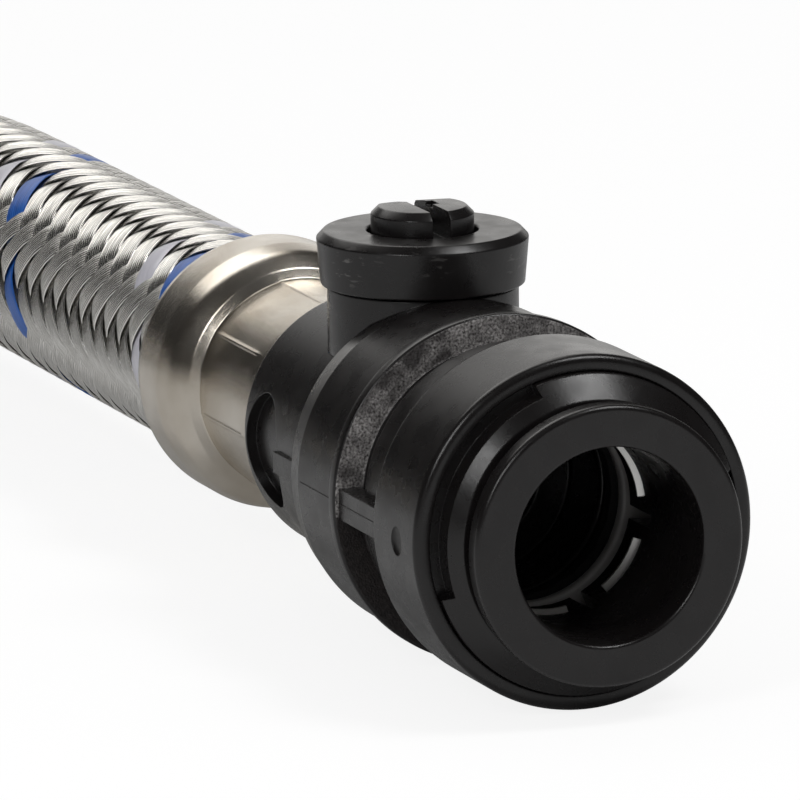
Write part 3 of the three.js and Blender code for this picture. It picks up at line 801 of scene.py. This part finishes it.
# Ferrules. Places along one count from its end at the fitting.
neck_radius = 8.7
neck_bore_radius = 8.2
collar_bore_radius = 7.2
bell_radius = 10.95
bell_bore_radius = 10.45
ferrule_back = -25.1
jaw_front, jaw_back = -4.6, -15.3
jaw_fade = 1.2
jaw_pitch = math.pi / 4
jaw_corner = math.radians(101)
jaw_bulge, jaw_line, jaw_line_sharpness, jaw_press = 0.14, 0.2, 40, 0.1


def crimped(along, angle, radius):
    """Eight jaws leave faint corners along the neck."""
    reach = min(max((jaw_front - along) / jaw_fade, 0), max((along - jaw_back) / jaw_fade, 0), 1)
    from_corner = (angle - jaw_corner) % jaw_pitch
    share = abs(from_corner - jaw_pitch / 2) / (jaw_pitch / 2)
    return reach * (jaw_bulge * share ** 2 + jaw_line * share ** jaw_line_sharpness - jaw_press)


ferrule_outline = [
    (0, collar_bore_radius, 0.2),
    (0, neck_radius, 0.5),
    (jaw_front, neck_radius, 0),
    (jaw_front - jaw_fade, neck_radius, 0),
    (-14, neck_radius, 0),
    (-15.1, neck_radius, 0.2),
    (-15.5, 9.5, 0.5),
    (-16.95, 10.6, 2.1),
    (-19.1, bell_radius, 2.2),
    (-23.2, bell_radius, 1),
    (-24.6, 10.55, 0.5),
    (ferrule_back, 9.9, 0.2),
    (ferrule_back, 9.4, 0.1),
    (-23.2, bell_bore_radius, 0.5),
    (-19.2, bell_bore_radius, 0.5),
    (-17.2, 9.8, 0.5),
    (-15.2, neck_bore_radius, 0.3),
    (-1, neck_bore_radius, 0.2),
    (-1, collar_bore_radius, 0.2),
]
for name, place, node in (
    ("crimped_ferrule", ferrule_place, "valve_ferrule"),
    ("tap_end_ferrule", tap_place, "tap_ferrule"),
):
    ferrule = turned(name, ferrule_outline, ferrule_facets, place, radius_at=crimped)
    finish_piece(ferrule, "valve", [node], [steel], sharp=50)

# Coupling nut with its thread. Places along it count from the ferrule's end.
across_flats = 24
nut_rear, nut_front = 0.8, 16.8
nut_corner_radius = 14.0
nut_chamfer_radius = 12.15
nut_chamfer = 1.05
nut_skirt_radius = 11.2
flats_from_radius = 11.9
hex_rear = 5.3
tail_hole_radius = 7.2
thread_foot = 3.3
thread_mouth, thread_mouth_radius = 16, 10.1
thread_radius = 9.3
thread_pitch = 1.814
thread_depth = 0.9
thread_start, thread_end = 4, 16.2
thread_fade = 1.2
nut_row = 0.24


def finer(points, step):
    """Splits long stretches of an outline."""
    made = []
    for index, point in enumerate(points):
        following = points[(index + 1) % len(points)]
        parts = max(1, math.ceil((following - point).length / step))
        made += [point.lerp(following, part / parts) for part in range(parts)]
    return made


def nut_surface(along, angle, radius):
    """The six flats outside, and a helix inside."""
    if radius > flats_from_radius:
        from_flat = angle % (math.pi / 3) - math.pi / 6
        return min(across_flats / 2 / math.cos(from_flat), radius) - radius
    if thread_radius - 0.1 < radius < thread_radius + 0.3 and along > thread_start:
        turn = (along / thread_pitch - angle / math.tau) % 1
        fade_in = max((along - thread_start) / thread_fade, 0)
        fade_out = max((thread_end - along) / thread_fade, 0)
        return thread_depth * min(fade_in, fade_out, 1) * abs(2 * turn - 1)
    return 0


nut_points = rounded([
    (nut_rear, tail_hole_radius, 0.2),
    (nut_rear, nut_skirt_radius, 0.5),
    (hex_rear, nut_skirt_radius, 0.2),
    (hex_rear, nut_chamfer_radius, 0),
    (hex_rear + nut_chamfer, nut_corner_radius, 0),
    (nut_front - nut_chamfer, nut_corner_radius, 0),
    (nut_front, nut_chamfer_radius, 0),
    (nut_front, thread_mouth_radius, 0.1),
    (thread_mouth, thread_radius, 0),
    (thread_foot, thread_radius, 0.1),
    (thread_foot, tail_hole_radius, 0.1),
])
nut = ring_mesh("hexagon_nut", finer(nut_points, nut_row), nut_facets, tap_place, nut_surface)
finish_piece(nut, "nut", ["coupling_nut"], [plated_brass], sharp=28)

# Hose: the route, carried on into both ferrules as far as the liner goes
liner_inset = 4.1
route = [Vector(point) * MM for point in hose_route_mm]
liner_route = [
    Vector((ferrule_high.x - liner_inset * MM, 0, axis_height)),
    *route,
    Vector((tap_axis_x, tap_ferrule_low.y + liner_inset * MM, tap_axis_z)),
]
parts_between_points = 24


def smooth_points(points):
    """A smooth curve through the points, with many places on each stretch."""
    dense = []
    ends = [2 * points[0] - points[1], *points, 2 * points[-1] - points[-2]]
    for index in range(1, len(ends) - 2):
        before, start, end, after = ends[index - 1:index + 3]
        knots = [0.0]
        for left, right in ((before, start), (start, end), (end, after)):
            knots.append(knots[-1] + math.sqrt((right - left).length))
        span = knots[2] - knots[1]
        start_slope = (
            (start - before) / knots[1] - (end - before) / knots[2] + (end - start) / span
        ) * span
        end_slope = (
            (end - start) / span - (after - start) / (knots[3] - knots[1])
            + (after - end) / (knots[3] - knots[2])
        ) * span
        for part in range(parts_between_points):
            t = part / parts_between_points
            dense.append(
                start * (2 * t ** 3 - 3 * t ** 2 + 1) + end * (3 * t ** 2 - 2 * t ** 3)
                + start_slope * (t ** 3 - 2 * t ** 2 + t) + end_slope * (t ** 3 - t ** 2)
            )
    dense.append(points[-1])
    return dense


def centre_line(points, step):
    """The smooth curve at an even step, with two square directions carried along it, and its length."""
    dense = smooth_points(points)
    lengths = [0.0]
    for left, right in zip(dense, dense[1:]):
        lengths.append(lengths[-1] + (right - left).length)
    count = round(lengths[-1] / step)
    places = []
    index = 0
    for n in range(count + 1):
        wanted = n / count * lengths[-1]
        while index < len(dense) - 2 and lengths[index + 1] < wanted:
            index += 1
        share = (wanted - lengths[index]) / (lengths[index + 1] - lengths[index])
        places.append(dense[index].lerp(dense[index + 1], share))
    side = Vector((0, 1, 0))
    frames = []
    for n, place in enumerate(places):
        ahead = (places[min(n + 1, count)] - places[max(n - 1, 0)]).normalized()
        side = (side - ahead * side.dot(ahead)).normalized()
        frames.append((place, side.copy(), side.cross(ahead)))
    return frames, lengths[-1]


line_step = 0.4 * MM
hose_line, hose_length = centre_line(liner_route, line_step)
total_arc = hose_length / MM
line_places = np.array([[*place] for place, _, _ in hose_line])
line_sides = np.array([[*side] for _, side, _ in hose_line])
line_ups = np.array([[*up] for _, _, up in hose_line])
line_arc = np.linspace(0, total_arc, len(hose_line))


def on_hose(arc, angle, radius):
    """Points at a length along the hose, an angle round it and a radius: arrays in mm and radians."""
    place, side, up = (
        np.stack([np.interp(arc, line_arc, values[:, axis]) for axis in range(3)], axis=-1)
        for values in (line_places, line_sides, line_ups)
    )
    out = side * np.cos(angle)[..., None] + up * np.sin(angle)[..., None]
    return place + out * (radius * MM)[..., None]


def tube_faces(rows, sides):
    """Faces of a closed tube of rows of points, with an end cap at each end."""
    faces = [
        (row * sides + side, row * sides + (side + 1) % sides,
         (row + 1) * sides + (side + 1) % sides, (row + 1) * sides + side)
        for row in range(rows - 1) for side in range(sides)
    ]
    faces.append(tuple(range(sides - 1, -1, -1)))
    faces.append(tuple((rows - 1) * sides + side for side in range(sides)))
    return faces


# Braid: twelve ribbons each way, which go over two and under two
ribbon_count = 12
ribbon_width = 2.42
ribbon_row = 0.46
ribbon_uv_row = 0.85
wire_thickness = 0.2
weave_swing = 0.3
weave_steepness = 1.9
crest_radius = 9.1
column_phase = math.radians(118.5)
pitch_angle = math.tau / ribbon_count
ribbon_across = np.array([-1, -0.88, -0.5, 0.5, 0.88, 1, 0.8, -0.8])
ribbon_depth = np.array([0.09, 0.02, 0, 0, 0.02, 0.09, wire_thickness, wire_thickness])
ribbon_sides = len(ribbon_across)
# The crimped necks squeeze each end of the hose to this share of its radius, which then fades out
neck_squeeze = 0.88
squeeze_length, squeeze_fade = 10.5, 4
# The blue tracer passes the middle of a column here. The braid is pushed together next to the ferrule.
tracer_along = -80.75
tracer_arc = (ferrule_high.x / MM - liner_inset) - (tracer_along + collet_high.x / MM)
tracer_lead = 0.25
close_spacing = 2.95
spacing_growth = 0.0155
growth_reach = 42
lead_step = 0.25
fine_arc = np.arange(0, total_arc + 1, lead_step)
fine_spacing = close_spacing + spacing_growth * np.clip(fine_arc - tracer_arc, 0, growth_reach)
fine_lead = np.concatenate([[0], np.cumsum(lead_step / fine_spacing[:-1])])
fine_lead = tracer_lead - (fine_lead - np.interp(tracer_arc, fine_arc, fine_lead))


def lead_at(arc):
    """How many columns the ribbons have turned by, at a length along the hose."""
    return np.interp(arc, fine_arc, fine_lead)


def slant_at(arc):
    """The angle between a ribbon and the hose."""
    return np.arctan2(crest_radius * pitch_angle, np.interp(arc, fine_arc, fine_spacing))


def in_ferrule(arc):
    """1 on the free hose and less under the crimped necks."""
    from_end = np.minimum(arc, total_arc - arc)
    share = np.clip((from_end - squeeze_length) / squeeze_fade, 0, 1)
    return neck_squeeze + (1 - neck_squeeze) * share * share * (3 - 2 * share)


def float_wave(crossings):
    """Swings between 1 and -1, over two crossings and under two."""
    wave = np.cos(crossings * math.pi / 2)
    return np.tanh(weave_steepness * wave) / math.tanh(weave_steepness)


def ribbon(index, way):
    """The points of one ribbon. way is 1 where its angle rises towards the valve."""
    rows = round(total_arc / ribbon_row)
    middle = np.linspace(0, total_arc, rows)[:, None]
    across = ribbon_across[None, :] * ribbon_width / 2
    slant = slant_at(middle)
    arc = np.clip(middle + way * across * np.sin(slant), 0, total_arc)
    turn = index + way * lead_at(middle)
    turn = turn + across * np.cos(slant) / (crest_radius * pitch_angle)
    swing = way * float_wave(index + turn + way * lead_at(arc) - 0.5)
    radius = crest_radius - weave_swing + weave_swing * swing - ribbon_depth[None, :]
    return on_hose(arc, column_phase + turn * pitch_angle, radius * in_ferrule(arc)).reshape(-1, 3)


def ribbons(name, indices, way, material):
    """The ribbons of one kind as one piece."""
    verts, faces, uvs = [], [], []
    across_uv = (ribbon_across + 1) / 2
    for index in indices:
        points = ribbon(index, way)
        rows = len(points) // ribbon_sides
        start = len(verts)
        verts += points.tolist()
        for face in tube_faces(rows, ribbon_sides):
            faces.append(tuple(start + corner for corner in face))
            uvs.append(tuple(
                (across_uv[corner % ribbon_sides] + index, corner // ribbon_sides * ribbon_uv_row)
                for corner in face
            ))
    made = new_solid(name, verts, faces, uvs)
    made.data.materials.append(material)
    made.data.shade_smooth()
    made.data.set_sharp_from_angle(angle=math.radians(60))
    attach(made, "valve")
    return made


blue_ribbon, white_ribbon = 0, 2
plain_ribbons = [n for n in range(ribbon_count) if n not in (blue_ribbon, white_ribbon)]
braid = ribbons("hose_braid_rising", plain_ribbons, 1, wire)
braid_back = ribbons("hose_braid_falling", range(ribbon_count), -1, wire)
blue = ribbons("blue_tracer_ribbon", [blue_ribbon], 1, blue_tracer)
white = ribbons("white_tracer_ribbon", [white_ribbon], 1, white_tracer)
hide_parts("hose_braid")

# Liner: its outside is squeezed with the braid, and its bore stays open for the tails
liner_radius, liner_bore_radius = 8.15, 6.4
liner_sides = 48
liner_rows = 280
liner_angles = np.arange(liner_sides) / liner_sides * math.tau
arcs, turns = np.meshgrid(np.linspace(0, total_arc, liner_rows), liner_angles, indexing="ij")
liner_verts = on_hose(arcs, turns, liner_radius * in_ferrule(arcs)).reshape(-1, 3).tolist()
liner_verts += on_hose(arcs, turns, np.full_like(arcs, liner_bore_radius)).reshape(-1, 3).tolist()
inside_start = liner_sides * liner_rows
liner_faces = []
for row in range(liner_rows - 1):
    for side in range(liner_sides):
        beside = (side + 1) % liner_sides
        for first, order in ((0, 1), (inside_start, -1)):
            liner_faces.append((
                first + row * liner_sides + side,
                first + row * liner_sides + beside,
                first + (row + 1) * liner_sides + beside,
                first + (row + 1) * liner_sides + side,
            )[::order])
for row in (0, liner_rows - 1):
    for side in range(liner_sides):
        left = row * liner_sides + side
        right = row * liner_sides + (side + 1) % liner_sides
        liner_faces.append((left, right, inside_start + right, inside_start + left))
liner = new_solid("rubber_hose_liner", liner_verts, liner_faces)
finish_piece(liner, "valve", ["hose_liner"], [rubber])

# Carried-over nodes
for node, material in (
    ("valve_ball", plated_brass), ("tap_nipple", plated_brass), ("hose_nipple", brass),
    ("socket_o_ring", rubber), ("lower_stem_o_ring", rubber), ("upper_stem_o_ring", rubber),
    ("nipple_o_ring", rubber), ("front_ball_seat", seat_plastic), ("rear_ball_seat", seat_plastic),
    ("sealing_washer", fibre),
):
    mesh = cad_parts[node].data
    mesh.materials.clear()
    mesh.materials.append(material)

# Floor: pale paper that keeps the shadow and shows nearly white to the camera
floor_size = 6
floor_drop = 0.0002
paper_colour = (0.86, 0.86, 0.86, 1)
paper_roughness = 0.9
paper_glow, paper_glow_share = 1.15, 0.75
floor = new_object("floor", [
    (x * floor_size / 2, y * floor_size / 2, -floor_drop) for x, y in ((-1, -1), (1, -1), (1, 1), (-1, 1))
], [(0, 1, 2, 3)])
floor_material, floor_tree, floor_shader = new_material("floor_paper")
floor_shader.inputs["Base Color"].default_value = paper_colour
floor_shader.inputs["Roughness"].default_value = paper_roughness
floor_rays = add(floor_tree, "ShaderNodeLightPath")
floor_glow = add(floor_tree, "ShaderNodeEmission", {"Color": (1, 1, 1, 1), "Strength": paper_glow})
glow_share = add(floor_tree, "ShaderNodeMath", {
    0: floor_rays.outputs["Is Camera Ray"], 1: paper_glow_share
}, operation="MULTIPLY")
floor_mix = add(floor_tree, "ShaderNodeMixShader", {
    0: glow_share.outputs[0], 1: floor_shader.outputs[0], 2: floor_glow.outputs[0]
})
floor_tree.links.new(floor_mix.outputs[0], floor_tree.nodes["Material Output"].inputs["Surface"])
floor.data.materials.append(floor_material)

# World: white behind the object, plain light on it, and a dim room with bright patches in its gloss
plain_strength = 0.32
room_colour = (1, 0.985, 0.96, 1)
# Each patch: azimuth, elevation, inner and outer reach in degrees, and strength
room_patches = (
    (0, 90, 0, 180, 0.045),
    (156, 6, 14, 26, 0.5),
    (165, 14, 16, 28, 0.5),
    (190, 52, 17, 26, 2.2),
)
world = bpy.data.worlds.new("studio")
world.use_nodes = True
scene.world = world
world_tree = world.node_tree
direction = add(world_tree, "ShaderNodeTexCoord").outputs["Generated"]


def towards(azimuth, elevation):
    """The direction of an azimuth and an elevation in degrees."""
    turn, rise = math.radians(azimuth), math.radians(elevation)
    return Vector((math.cos(turn) * math.cos(rise), math.sin(turn) * math.cos(rise), math.sin(rise)))


def room_patch(azimuth, elevation, inner, outer, strength):
    """A bright patch of the studio round a direction, which fades from inner to outer."""
    aim = tuple(towards(azimuth, elevation))
    along = add(world_tree, "ShaderNodeVectorMath", {0: direction, 1: aim}, operation="DOT_PRODUCT")
    return add(world_tree, "ShaderNodeMapRange", {
        "Value": along.outputs["Value"],
        "From Min": math.cos(math.radians(outer)),
        "From Max": math.cos(math.radians(inner)),
        "To Min": 0.0,
        "To Max": strength,
    }, interpolation_type="SMOOTHSTEP").outputs["Result"]


room = room_patch(*room_patches[0])
for patch in room_patches[1:]:
    room = add(world_tree, "ShaderNodeMath", {0: room, 1: room_patch(*patch)}, operation="ADD").outputs[0]
room_light = add(world_tree, "ShaderNodeBackground", {"Color": room_colour, "Strength": room})
plain_light = add(world_tree, "ShaderNodeBackground", {"Color": (1, 1, 1, 1), "Strength": plain_strength})
white_background = add(world_tree, "ShaderNodeBackground", {"Color": (1, 1, 1, 1), "Strength": 1.0})
world_rays = add(world_tree, "ShaderNodeLightPath")
glossy_mix = add(world_tree, "ShaderNodeMixShader", {
    0: world_rays.outputs["Is Glossy Ray"], 1: plain_light.outputs[0], 2: room_light.outputs[0]
})
seen = add(world_tree, "ShaderNodeMath", {
    0: world_rays.outputs["Is Camera Ray"], 1: world_rays.outputs["Is Transmission Ray"]
}, operation="MAXIMUM")
world_mix = add(world_tree, "ShaderNodeMixShader", {
    0: seen.outputs[0], 1: glossy_mix.outputs[0], 2: white_background.outputs[0]
})
world_tree.links.new(world_mix.outputs[0], world_tree.nodes["World Output"].inputs["Surface"])

# Softboxes
softbox_distance = 1.1
softbox_aim = Vector((0, 0, 0.01))


def softbox(name, azimuth, elevation, size, radiance):
    """A softbox in a direction from the object, of a size in metres and a given brightness."""
    place = softbox_distance * towards(azimuth, elevation)
    data = bpy.data.lights.new(name, "AREA")
    data.shape = "RECTANGLE"
    data.size, data.size_y = size
    data.energy = radiance * math.pi * size[0] * size[1]
    lamp = bpy.data.objects.new(name, data)
    scene.collection.objects.link(lamp)
    lamp.visible_camera = False
    facing = (softbox_aim - place).to_track_quat("-Z", "Y").to_matrix().to_4x4()
    lamp.matrix_world = Matrix.Translation(place) @ facing


softbox("key", 46, 60, (0.34, 0.34), 9)
softbox("left", 312, 32, (0.26, 0.4), 7)

scene.view_settings.view_transform = "Standard"
